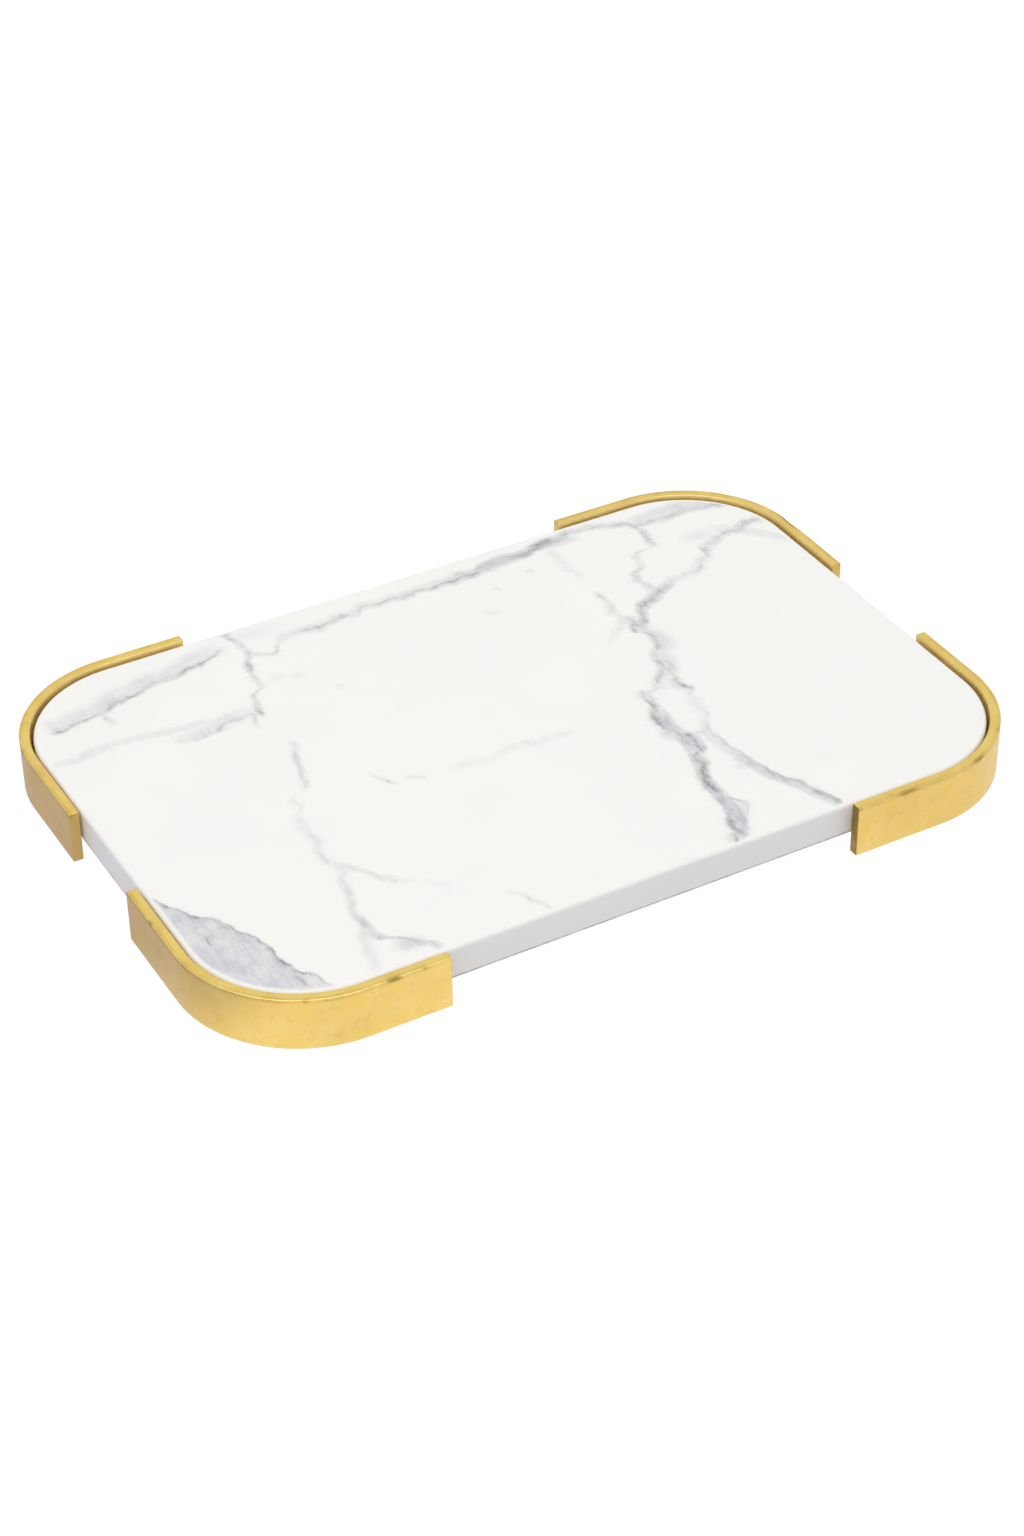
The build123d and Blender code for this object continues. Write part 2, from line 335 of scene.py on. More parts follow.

# %% [markdown]
# ## Where the veins run
# The layout is drawn like a mason's sketch, in millimetres from the middle of the
# slab. Each point says how far across and how far back it is, how dark the core is and how
# strong the cloud is, both out of ten. A vein never doubles back along its own chord. The three
# widths after the name are the core's half width and the cloud's reach to the left and to the
# right of someone walking along the vein.

# %% the sketch
VEINS = {
    "back left": (1.4, 13, 2.4, [
        (-184, 93, 0, 0), (-179, 93.5, 6, 3.5), (-170, 94.5, 6, 4.25), (-162, 96, 4.25, 4.25),
        (-154, 98, 3.5, 4.25), (-150, 100.5, 7.25, 4.25), (-146, 101.5, 6.5, 4.25),
        (-141, 102.5, 4.25, 4.25), (-135, 103, 3, 4.25), (-130, 105.5, 3, 4.25),
        (-122, 106.5, 3, 4.25), (-114, 107, 4.25, 4.25), (-108, 109.5, 7.25, 4.25),
        (-102, 110.5, 6, 3.5), (-98, 111.5, 6, 3.5), (-92, 114, 6, 2.5), (-86, 116, 0, 0)]),
    "back left feather": (1.3, 3, 3, [
        (-158, 98, 1.5, 1.75), (-156, 93, 1.75, 2.5), (-155, 88, 1.75, 2.5), (-157, 83, 0, 0)]),
    "main back": (1.6, 5.5, 4.5, [
        (-64, 112, 0, 0), (-60, 112, 1.25, 1.75), (-50, 111.5, 2.5, 1.75), (-42, 110, 6, 2.75),
        (-35, 112, 3.5, 1.75), (-28, 113, 6, 2.75), (-22, 111.5, 3.5, 2.75),
        (-18, 113, 3.5, 2.75), (-15, 116, 3.5, 2.75), (-8, 114.5, 3.5, 2.75),
        (0, 115.5, 3.5, 2.75), (5, 113, 3.5, 2.75), (10, 113, 3.5, 2.75), (13, 115, 3.5, 2.75),
        (20, 114.5, 3.5, 2.75), (27, 114, 3.5, 3.5), (32, 113.5, 5.5, 6), (40, 114.5, 5, 6),
        (46, 114.5, 5.5, 7), (51, 117, 3.5, 7), (60, 118, 3, 6.5), (66, 118.5, 3, 6.5),
        (72, 117.5, 3, 8), (78, 119, 6, 8), (84, 120.5, 10, 9), (90, 120.5, 7.5, 9),
        (97, 121.5, 4, 7), (103, 124, 3.75, 4), (107, 122.5, 3.75, 4), (112, 122, 3.75, 3.25),
        (118, 120.5, 3.75, 3.25), (123, 118.5, 4.5, 3.25), (127, 117.5, 6.25, 4),
        (131, 115, 6.25, 4), (134, 113, 3, 4), (140, 112, 3, 5), (150, 112, 2.5, 4.5),
        (160, 112, 2, 5), (170, 111, 2, 5), (176, 110, 3.5, 6), (180, 107.5, 6.5, 5),
        (184, 107.5, 3.5, 4), (188, 107, 3, 3), (196, 106, 2.5, 3)]),
    "main back under band": (1.5, 4.5, 4.5, [
        (26, 114, 1.5, 0), (36, 117, 2, 3.5), (50, 115, 2, 4.25), (66, 116, 2, 4.25),
        (82, 118, 3, 4.25), (98, 118, 1.5, 5), (106, 118, 0, 0)]),
    "back right haze": (1, 7, 5, [
        (128, 116, 0, 0), (138, 115, 1, 4.25), (152, 117, 1, 5), (166, 116, 1, 5),
        (180, 112, 1, 5), (190, 109, 0, 2.5)]),
    "upright": (1.6, 4, 4, [
        (86, 118, 0, 0), (86, 112, 0.75, 1.5), (86, 105, 0.75, 1.5), (85, 95, 0.75, 1.5),
        (87, 90, 0.75, 1.5), (87, 82, 0, 0), (87, 72, 0, 0), (87, 67, 2.5, 1.75),
        (87, 60, 1.5, 2), (84, 52, 2, 2), (85, 47, 2, 2), (83, 42, 2, 2), (80, 39, 1.5, 2),
        (75, 34, 0.75, 1.25), (68, 27, 0, 0)]),
    "branch": (1.5, 3.2, 3.2, [
        (134, 113, 3, 2.5), (134, 105, 4, 3.5), (133, 98, 3, 3.25), (131, 91.5, 2.5, 2.5),
        (125, 91, 1.5, 1.75), (119, 88, 2, 2.5), (118, 84, 1.5, 1.75), (117, 78.5, 3.25, 2.5),
        (111, 75, 2.5, 3.5), (108.5, 71, 2.5, 3.5), (110, 66, 2, 3.5), (111, 62, 1.5, 3.5),
        (110.5, 57, 1.5, 2.5), (110, 53, 0, 0)]),
    "upper right": (1.6, 5, 5, [
        (196, 89, 1.75, 3), (192, 88, 1.75, 3.75), (187, 87.5, 5.5, 4), (181, 87.5, 4.5, 4.5),
        (175, 84, 2.5, 4), (168, 85, 2, 3.75), (162, 82, 2, 3.75), (155, 79, 2, 3.75),
        (151.5, 77, 5, 3.5), (150, 71.5, 2.5, 2), (146, 69, 2.5, 2), (141, 65.5, 2.75, 2),
        (137, 63, 2.5, 2), (130, 61.5, 1.5, 1.75), (122, 61, 1.5, 1.75), (116, 57.5, 3.5, 7),
        (111, 55, 3.5, 7), (106, 51.5, 4.5, 7), (101, 50, 3.5, 7), (98, 47, 3.5, 7),
        (95, 42, 3.5, 7), (91, 37, 4, 7), (87, 36, 3, 4.5), (84, 33, 1, 2)]),
    "main right, upper": (1.6, 11, 3.5, [
        (88, 45, 2, 2.5), (88, 41, 3, 4.5), (86, 36, 3.5, 4.5), (85, 32, 3, 4.5),
        (89, 28, 3, 4.5), (89.5, 22, 3, 4.5), (87, 16, 3, 4.5), (83, 13, 3, 4.5), (82, 8, 3, 4.5),
        (80, 2, 3, 4.5), (77, -3, 3, 3.5), (72, -8, 3, 2.5), (68, -12, 2.5, 2), (63, -13, 2, 1)]),
    "main right, lower": (1.9, 5, 3, [
        (63, -8, 0, 0), (62, -11, 3.5, 4), (61, -18, 4, 5), (60.5, -22, 4, 6), (58, -27, 6.5, 7),
        (56.5, -33, 8, 8), (57, -40, 4, 8), (59, -45, 3.5, 6), (60, -48, 4.5, 6),
        (62, -52, 5.5, 6), (62.5, -58, 5.5, 6), (61, -63, 5.5, 6), (57, -66, 5.5, 6),
        (56, -72, 6.5, 7), (53, -77, 7, 8), (51, -82, 10, 9), (49.5, -86, 10, 9),
        (50, -92, 5.5, 8), (50.5, -98, 4.5, 7), (50, -102, 2, 4)]),
    "main right, filling": (1, 4.6, 4.6, [
        (60, -24, 0, 2), (60, -34, 1.5, 7), (59, -44, 2, 8), (59, -54, 2, 8), (58, -62, 1.5, 6),
        (54, -74, 1, 6), (50, -90, 1, 7), (50, -104, 1, 8), (47, -116, 1, 8), (43, -126, 1, 7)]),
    "left fork": (1.5, 6, 2.5, [
        (50.5, -97, 3.5, 4), (47, -105, 4.5, 6), (45, -111, 4.5, 7), (43, -116, 4.5, 8),
        (42, -122, 6, 8), (40, -127, 4, 6), (38, -132, 2.5, 4)]),
    "right fork": (1.4, 2.2, 6, [
        (50.5, -95, 1.5, 2), (55, -102, 3.5, 4), (56, -107, 3, 4), (53, -111, 3, 4),
        (50, -115, 3, 4), (46, -119, 3, 4), (44, -124, 1.5, 3)]),
    "second right": (1.5, 2.2, 6.5, [
        (84, 6, 0, 0), (83, 0, 4, 3), (81, -8, 5, 3), (80, -14, 7, 5), (80.5, -17, 7, 4),
        (83, -21, 3, 2), (80, -26, 1, 2), (79, -35, 1, 2), (76, -45, 1, 2), (73, -51, 2.5, 3),
        (72, -55, 2.5, 3), (73, -60, 2.5, 3), (72.5, -65, 2.5, 3), (74, -72, 2.5, 4),
        (75, -78, 3, 5), (77, -84, 3.5, 6), (78, -90, 3.5, 7), (80, -96, 3.5, 7),
        (83, -101, 3.5, 7), (86, -108, 3.5, 7), (88, -114, 3.5, 7), (90, -120, 3.5, 6),
        (92, -126, 3, 5), (93, -131, 2, 4)]),
    "right bridge": (1.2, 2.5, 2.5, [(62, -53, 1, 2), (68, -52, 2, 3), (74, -53, 1, 2)]),
    "left system, upper": (1.4, 3, 3, [
        (-81, 131, 5, 5.5), (-81, 126, 5, 5.5), (-80, 120, 2, 2.5), (-79, 112, 2, 2.5),
        (-79, 105, 2, 2.5), (-82, 101, 3, 3.5), (-83, 97, 6, 5), (-84, 92, 2, 3),
        (-85, 86, 1.5, 2.5), (-85, 80, 1.5, 2.5), (-88, 77, 2.5, 2), (-92, 74, 3, 2.5),
        (-93, 69, 3, 2.5), (-94, 63, 5, 3.5), (-93.5, 60, 4, 2.5), (-94.5, 57, 0, 0),
        (-97, 50, 0, 0), (-94, 36, 0, 0), (-92, 31, 2, 1.5), (-94, 27, 2.5, 2), (-96, 21, 4, 2),
        (-97, 15, 2.5, 2), (-99.5, 9, 2.5, 2), (-101, 3, 2, 2), (-102, 0, 1.5, 1.5),
        (-104, -4, 0, 0)]),
    "left system, lower": (1.6, 3.5, 3.5, [
        (-110, -3, 0, 0), (-111, -7, 1, 1.25), (-110, -10, 0.75, 1.25), (-114, -16, 0.75, 1.75),
        (-116, -25, 0.75, 1.75), (-116, -30, 0.75, 1.75), (-115, -37, 1, 1.75),
        (-117, -43, 0.75, 1.75), (-117.5, -50, 2.25, 1.75), (-116, -55, 1, 1.75),
        (-115, -60, 1, 1.75), (-118, -67, 1.75, 1.75), (-119, -73, 1.75, 2.5),
        (-121, -78, 1.75, 2.5), (-123, -85, 1.75, 3), (-124, -90, 1.75, 3), (-123, -98, 1.5, 5.5),
        (-123, -104, 1.5, 5.5), (-122, -108, 2.5, 6.25), (-117, -112, 2.5, 6.25),
        (-112, -115, 2, 6.25), (-109, -119, 2.5, 5.5), (-104, -126, 1.25, 3.5)]),
    "left side step": (1.3, 3, 3, [
        (-55, 110.5, 0, 0), (-60, 110, 1.5, 1.5), (-66, 104, 2, 2), (-68, 101, 4, 2.75),
        (-73, 103, 2, 2), (-80, 105, 1.5, 2)]),
    "left tail": (1.2, 2.5, 2.5, [
        (-97, 62, 2, 2.5), (-99, 57, 3, 2.5), (-100, 53, 2, 1), (-101, 49, 0, 0)]),
    "left branch": (1.4, 3, 3, [
        (-114, -57, 1, 1.25), (-108, -65, 1.5, 1.75), (-105, -70, 1.5, 1.75),
        (-101, -75, 1.5, 1.75), (-95, -80, 1.25, 1.25), (-91, -82, 0, 0), (-88, -84, 0.5, 0.5),
        (-84, -91, 0.5, 0.5), (-82, -96, 0, 0)]),
    "left leg": (1.6, 3.5, 3.5, [
        (-124, -98, 0.5, 1.5), (-127, -105, 1.5, 3), (-130, -115, 1, 2), (-132, -122, 1, 1.5),
        (-133, -130, 0.5, 0.5)]),
    "front hair": (1.1, 2, 2, [
        (-63, -105, 0, 0), (-60, -110, 1.5, 0.75), (-56, -117, 2.5, 0.75), (-53, -124, 2.5, 0.75),
        (-51, -131, 1.25, 0.75)]),
    "left band": (1.5, 4, 4, [
        (-196, 70, 0, 0.75), (-180, 70, 0.75, 2.5), (-160, 72, 0.5, 1.5), (-145, 70, 0.5, 2.5),
        (-130, 68, 0.5, 2.5), (-115, 66, 0.5, 1.5), (-104, 64, 0, 0)]),
    "left band edge": (1.5, 9, 2.2, [
        (-138, 58.5, 0, 0), (-134, 58, 1.25, 3.25), (-118, 57.5, 1.5, 4.5), (-113, 61, 3.25, 4.5),
        (-105, 62, 2.5, 3.25), (-98, 62, 2.5, 1.75), (-93, 60, 0.75, 0)]),
    "corner": (0.9, 1.4, 95, [
        (-197, -34, 4.5, 6.5), (-193, -38, 4.5, 7.5), (-191, -43, 4.5, 7.5),
        (-186, -50, 4.5, 7.5), (-182, -57, 4.5, 7.5), (-178, -62, 5.5, 7.5),
        (-174, -68, 5.5, 7.5), (-171, -75, 5.5, 7.5), (-167, -81, 4.5, 7.5),
        (-164, -90, 4.5, 7.5), (-163, -98, 7.75, 7.5), (-162, -105, 5.5, 7.5),
        (-161, -110, 5.5, 7.5), (-157, -114, 4.5, 6.5), (-155, -118, 3.25, 6),
        (-152, -125, 1.75, 4), (-149, -132, 0, 3.5)]),
    "corner dash": (1.1, 1.2, 1.2, [
        (-163.5, -111, 0, 0), (-163, -114, 5.5, 3), (-162, -118, 5, 3), (-161, -122, 0, 0)]),
    "corner inner": (1.4, 3, 3, [
        (-187, -65, 0, 0), (-185, -69, 4, 3), (-183.5, -76, 4, 3), (-183, -81, 3, 3),
        (-182, -87, 0, 3)]),
    "middle hair": (1.1, 2, 2, [
        (-75, -4, 0, 0), (-72, -9, 2.5, 1), (-68, -15, 2.5, 1), (-65, -18, 0, 0),
        (-62, -15, 0, 0), (-60, -16, 2.5, 1), (-56, -18, 2.5, 1), (-52, -20, 0, 0)]),
    "middle mist": (1.6, 4, 4, [
        (-42, -20, 0, 0), (-34, -20, 1, 1), (-25, -21, 0.25, 1), (-5, -19, 1, 1), (0, -22, 1, 1),
        (10, -21, 1, 1), (15, -22, 1, 0.75), (22, -23, 0, 0)]),
    "small dash": (1.2, 1.3, 1.3, [
        (45, 97, 0, 0), (46.5, 97, 3.5, 0), (49, 97, 3.5, 0), (50.5, 97, 0, 0)]),
    "small fleck": (1.2, 1.3, 1.3, [
        (66, 103, 0, 0), (68, 102.5, 3, 0), (70, 102, 3, 0), (72, 101, 0, 0)]),
    "right smudge": (1, 5, 5, [
        (164, 92, 0, 1), (170, 88, 0, 2.5), (176, 82, 0.5, 3), (182, 76, 0.5, 3),
        (188, 69, 0.5, 2.5), (195, 61, 0, 1.5)]),
}
CLOUDS = [
    # across, back, half width, half depth, strength out of ten
    (-70, 121, 16, 7, 2), (155, 89, 12, 7, 3), (170, 87, 7, 4, 4),
    (-76, 83, 5, 4, 2), (-67, 80, 4, 4, 2), (-54, 62, 4, 4, 2), (152, 119.5, 2.5, 2, 6),
    (-181, -87, 5, 6, 5), (-182, -97, 4, 6, 5), (-114, -117, 9, 6, 6), (42, -123, 7, 5, 7),
    (-81, 127, 5, 3, 6), (35, 80, 4, 3, 2), (70, -83, 3, 3, 4), (-100, 116, 16, 7, 4),
    (-117, 61, 16, 5, 3), (92, 22, 7, 14, 2), (104, -96, 4, 7, 1), (60, -14, 4, 5, 4),
    (88, 38, 5, 4, 7), (56, -45, 5, 8, 6), (51, -106, 6, 8, 6), (-84, 97, 3, 5, 4),
]
print(len(VEINS), "veins with", sum(len(row[3]) for row in VEINS.values()), "points,", len(CLOUDS), "clouds")


# %% [markdown]
# ## Drawing one vein with nodes
# A Mapping node turns the slab's coordinates so that the chord runs from 0 to 1 along its
# first axis. One RGB Curves node then holds three curves of that number: sideways swing in
# red, core in green and cloud in blue. Curves are handy here because each is a smooth line
# through a few given points, which is how a vein is sketched.


# %% a vein from its points
FADE_OUT = 1.5
CLOUD_REACH = 1.25
CLOUD_HEIGHT = 1000.0
SWING_SPARE = 1.02


def chord_frame(points):
    """Start, unit direction and length of the chord, then how far along and aside each point
    is and its two strengths. A little is added at each end, where both strengths are zero."""
    span = points[-1, :2] - points[0, :2]
    direction = span / np.linalg.norm(span)
    start = points[0, :2] - FADE_OUT * direction
    length = np.linalg.norm(span) + 2 * FADE_OUT
    along = np.concatenate(([0.0], (points[:, :2] - start) @ direction / length, [1.0]))
    aside = (points[:, :2] - start) @ np.array((-direction[1], direction[0]))
    aside = np.concatenate((aside[:1], aside, aside[-1:]))
    strengths = np.vstack(([0, 0], points[:, 2:] / 10.0, [0, 0]))
    return start, direction, length, along, aside, strengths


def set_curve(curve, along, heights, handle):
    """Puts the curve's points at the given places, first and last ones included."""
    curve.points[0].location = (along[0], heights[0])
    curve.points[1].location = (along[-1], heights[-1])
    for x, y in zip(along[1:-1], heights[1:-1]):
        curve.points.new(float(x), float(y))
    for point in curve.points:
        point.handle_type = handle


def draw_vein(tree, vector, name, row, noises, before):
    """Adds one vein's nodes and returns its core and cloud masks, chained after `before`."""
    core_width, soft_left, soft_right, listed = row
    points = np.array(listed, float)
    start, direction, length, along, aside, strengths = chord_frame(points)
    assert np.all(np.diff(along) > 0), f"the vein {name} doubles back"
    swing = max(2.0 * np.abs(aside).max(), 0.5) * SWING_SPARE
    turn = -math.atan2(direction[1], direction[0])
    origin = Matrix.Rotation(turn, 2) @ Vector(start) / length
    frame_node = add_node(tree, "ShaderNodeMapping", label=name)
    frame_node.inputs["Scale"].default_value = (1.0 / length,) * 3
    frame_node.inputs["Rotation"].default_value = (0.0, 0.0, turn)
    frame_node.inputs["Location"].default_value = (-origin[0], -origin[1], 0.0)
    feed(tree, frame_node.inputs["Vector"], vector)
    split = parted(tree, frame_node.outputs[0])
    curves = add_node(tree, "ShaderNodeRGBCurve", label=name)
    curves.mapping.extend = "HORIZONTAL"
    set_curve(curves.mapping.curves[0], along, 0.5 + aside / swing, "AUTO_CLAMPED")
    set_curve(curves.mapping.curves[1], along, strengths[:, 0], "VECTOR")
    set_curve(curves.mapping.curves[2], along, strengths[:, 1], "VECTOR")
    curves.mapping.update()
    feed(tree, curves.inputs["Color"], split["X"])
    parts = add_node(tree, "ShaderNodeSeparateColor")
    feed(tree, parts.inputs[0], curves.outputs[0])
    drawn = place_group(
        tree, vein_group, Across=split["Y"], Bend=parts.outputs[0], Core=parts.outputs[1],
        Soft=parts.outputs[2], Length=length, Swing=swing, Core_Width=core_width,
        Soft_Left=soft_left, Soft_Right=soft_right, Ragged=noises[0], Patchy=noises[1],
        Core_Before=before[0], Soft_Before=before[1],
    )
    return drawn["Core"], drawn["Soft"]


def draw_cloud(tree, vector, cloud, before):
    """A soft ellipse added to the cloud mask where it is the stronger of the two."""
    across, back, half_width, half_depth, strength = cloud
    fitted = add_node(tree, "ShaderNodeMapping", vector_type="TEXTURE")
    fitted.inputs["Location"].default_value = (across, back, 0.0)
    fitted.inputs["Scale"].default_value = (half_width, half_depth, CLOUD_HEIGHT)
    feed(tree, fitted.inputs["Vector"], vector)
    reach = vector_maths(tree, "LENGTH", fitted.outputs[0])
    shape = ramp(tree, reach, 0.0, CLOUD_REACH, strength / 10.0, 0.0)
    return maths(tree, "MAXIMUM", before, shape)


# %% [markdown]
# ## The stone
# Coordinates are first pushed about by noise, by up to half of the crackle span to either
# side, which makes the veins crackle instead of sweeping. Two more noises make their edges
# ragged and their darkness patchy. Then every vein of the sketch is chained into two masks.

# %% marble: the veins' masks
CRACKLE_SPAN = 6.0
marble, stone, stone_shader = new_finish("polished veined marble")
stone_mm = millimetres(stone)
stone_place = parted(stone, stone_mm)
crackle = speckle(stone, stone_mm, 0.10, 5.0, 0.55, colour=True)
crackle = vector_maths(stone, "MULTIPLY_ADD", crackle, (CRACKLE_SPAN, CRACKLE_SPAN, 0.0), stone_mm)
vein_mm = vector_maths(stone, "SUBTRACT", crackle, (CRACKLE_SPAN / 2, CRACKLE_SPAN / 2, 0.0))
ragged = ramp(stone, speckle(stone, stone_mm, 0.35, 3.0), 0.32, 0.68, 0.65, 1.5)
patchy = ramp(stone, speckle(stone, stone_mm, 0.16, 4.0, 0.6), 0.34, 0.66, 0.45, 1.2)
masks = (0.0, 0.0)
for vein_name, vein_row in VEINS.items():
    masks = draw_vein(stone, vein_mm, vein_name, vein_row, (ragged, patchy), masks)
core_mask, soft_mask = masks
print("the veins take", len(stone.nodes), "nodes")

# %% [markdown]
# ## Streaks inside the veins
# Up close a vein is brushed: fine streaks run along it, from front to back over most of the
# slab and from side to side near the back edge. Stretching the noise's own coordinates draws
# them, and they lighten and darken both masks.

# %% marble: streaks and clouds
STREAKS_BACK = (0.50, 0.09, 1.0)
STREAKS_ACROSS = (0.08, 0.42, 1.0)
streaks = add_node(stone, "ShaderNodeMix")
feed(stone, streaks.inputs[0], ramp(stone, stone_place["Y"], 88.0, 104.0))
for socket, stretch in ((streaks.inputs[2], STREAKS_BACK), (streaks.inputs[3], STREAKS_ACROSS)):
    feed(stone, socket, speckle(stone, vector_maths(stone, "MULTIPLY", vein_mm, stretch), 1.0, 4.0, 0.6))
streaks = streaks.outputs[0]
core_mask = maths(stone, "MULTIPLY", core_mask, ramp(stone, streaks, 0.34, 0.66, 0.45, 1.35))
soft_mask = maths(stone, "MULTIPLY", soft_mask, ramp(stone, streaks, 0.34, 0.66, 0.78, 1.12))
for cloud_row in CLOUDS:
    soft_mask = draw_cloud(stone, vein_mm, cloud_row, soft_mask)

# %% [markdown]
# ## Where the pattern shows
# Both masks die away just inside the rim and just under the top face, so the sides stay
# plain. The corner centres lie far above the slab as well, which leaves height out of the
# distance to the rim.

# %% marble: the top face only
slab_low, slab_high = (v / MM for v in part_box("marble_slab"))
slab_half = (slab_high - slab_low) / 2
FAR_ABOVE = 1000.0
corner_centre = (slab_half.x - SLAB_CORNER, slab_half.y - SLAB_CORNER, FAR_ABOVE)
rim_reach = place_group(stone, rim_group, Vector=stone_mm, Corner_Centre=corner_centre)["Reach"]
in_from_rim = ramp(stone, rim_reach, SLAB_CORNER - 3.4, SLAB_CORNER - 1.2, 1.0, 0.0)
is_upper = ramp(stone, stone_place["Z"], slab_high.z - 1.2, slab_high.z - 0.2)
on_top = maths(stone, "MULTIPLY", in_from_rim, is_upper)
mist = ramp(stone, speckle(stone, stone_mm, 0.11, 6.0, 0.6), 0.32, 0.66, 0.66, 1.10)
soft_mask = maths(stone, "MULTIPLY", maths(stone, "MULTIPLY", soft_mask, mist), on_top, clamp=True)
core_mask = maths(stone, "MULTIPLY", core_mask, on_top, clamp=True)
print("the slab, mm:", [round(v, 2) for v in slab_high - slab_low])

# %% [markdown]
# ## The stone's colours
# Nearly white stone, then the clouds, then the cores. Along the lower arris of the slab runs a
# thin grey line of painted shade, broken by the same patches as the veins.

# %% marble: colour and surface
STONE_WARM = (0.918, 0.908, 0.893)
STONE_COOL = (0.902, 0.896, 0.886)
STONE_GRAIN = (0.70, 0.69, 0.68)
CLOUD_GREY = (0.53, 0.535, 0.59)
CORE_GREY = (0.21, 0.205, 0.22)
FOOT_SHADE_GREY = (0.38, 0.37, 0.40)
stone_marks = place_group(stone, surface_marks, Vector=stone_mm, Blotches_Per_Mm=0.018, Grain_Per_Mm=1.6)
stone_colour = colour_mix(stone, stone_marks["Blotches"], STONE_WARM, STONE_COOL)
faint_grain = maths(stone, "MULTIPLY", stone_marks["Grain"], 0.05)
stone_colour = colour_mix(stone, faint_grain, stone_colour, STONE_GRAIN)
stone_colour = colour_mix(stone, soft_mask, stone_colour, CLOUD_GREY)
stone_colour = colour_mix(stone, core_mask, stone_colour, CORE_GREY)
# painted shade: a thin grey line along the slab's lower arris, which faces down towards the floor
above_cut = ramp(stone, stone_place["Z"], slab_low.z + 0.05, slab_low.z + 0.30)
below_side = ramp(stone, stone_place["Z"], slab_low.z + 1.10, slab_low.z + 1.80, 0.90, 0.0)
painted_foot_shade = maths(stone, "MULTIPLY", maths(stone, "MULTIPLY", above_cut, below_side), patchy, clamp=True)
stone_colour = colour_mix(stone, painted_foot_shade, stone_colour, FOOT_SHADE_GREY)
feed(stone, stone_shader.inputs["Base Color"], stone_colour)
feed(stone, stone_shader.inputs["Roughness"], ramp(stone, stone_marks["Grain"], 0.0, 1.0, 0.34, 0.42))
stone_shader.inputs["Specular IOR Level"].default_value = 0.35
relief(stone, stone_shader, stone_marks["Grain"], 0.12, 0.02)
print("the marble finish has", len(stone.nodes), "nodes")

# %% [markdown]
# ## The gilding
# The bars are gilded: warm yellow, satin rather than mirror bright. Chip wear, a painted
# highlight and a painted dark line of shade beneath it follow the outer top arris, so the first
# masks measure how far a point is from it, with grain added to keep the lines from looking ruled.
# Three numbers come painted on the mesh: how far across the bar a point lies, how much it is
# knocked through, and whether it is on a sawn end.

# %% gilding: where it is worn, and its painted highlight and shade
gilding, gold, gold_shader = new_finish("satin gilding")
gold_mm = millimetres(gold)
gold_marks = place_group(gold, surface_marks, Vector=gold_mm, Blotches_Per_Mm=0.11, Grain_Per_Mm=1.3)
bar_across = painted(gold, "across")
bar_top = (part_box("front_left_bracket")[1] / MM).z
below_top = maths(gold, "SUBTRACT", bar_top, parted(gold, gold_mm)["Z"])
from_outside = maths(gold, "SUBTRACT", BAR_THICKNESS / 2, bar_across)
arris_gap = maths(gold, "MAXIMUM", below_top, from_outside)
arris_gap = maths(gold, "MULTIPLY_ADD", gold_marks["Grain"], 0.35, arris_gap)
# patches that break up both the chip wear and the painted dark line of shade along the arris
wear_and_shade_patches = ramp(gold, speckle(gold, gold_mm, 0.07, 5.0, 0.62), 0.36, 0.64, 0.15, 1.0)
# painted highlight: a lighter band along the outer top arris
painted_arris_highlight = ramp(gold, arris_gap, 0.30, 0.80, 0.55, 0.0)
# painted shade: a dark line just inside the painted highlight, in patches
past_painted_highlight = ramp(gold, arris_gap, 0.55, 0.95)
painted_arris_shade = maths(gold, "MULTIPLY", past_painted_highlight, ramp(gold, arris_gap, 1.1, 2.4, 1.0, 0.0))
painted_arris_shade = maths(gold, "MULTIPLY", maths(gold, "MULTIPLY", painted_arris_shade, wear_and_shade_patches), 0.55)
pits = ramp(gold, speckle(gold, gold_mm, 0.75, 4.0, 0.6), 0.64, 0.72)
pits = maths(gold, "MULTIPLY", pits, ramp(gold, arris_gap, 0.5, 5.0, 1.0, 0.12))
pits = maths(gold, "MULTIPLY", maths(gold, "MULTIPLY", pits, wear_and_shade_patches), 0.7)
smudges = ramp(gold, speckle(gold, gold_mm, 0.035, 5.0, 0.6), 0.34, 0.66)
smudges = maths(gold, "MULTIPLY", smudges, 0.30)
patina = ramp(gold, speckle(gold, gold_mm, 0.22, 5.0, 0.65), 0.50, 0.68, 0.0, 0.28)
# painted bounce light: a lighter tint on the wall facing the stone, whose narrow gap would render nearly
# black
painted_gap_light = ramp(gold, bar_across, -BAR_THICKNESS / 2, -BAR_THICKNESS / 2 + 0.25, 1.0, 0.0)
knocked = painted(gold, "knock")
sawn_end = painted(gold, "sawn")
print("the gilding's masks take", len(gold.nodes), "nodes; the bars' top is at", round(bar_top, 2), "mm")

# %% [markdown]
# ## The gilding's colours
# The masks are laid over the gold in turn, each with its own tint, and a later one covers the
# earlier ones. The bright band and the dark line along the arris are a painted highlight and
# painted shade. The wall that faces the stone gets a lighter tint as painted bounce light,
# because the narrow gap would go nearly black otherwise. Knocked and sawn places are also a
# little rougher.

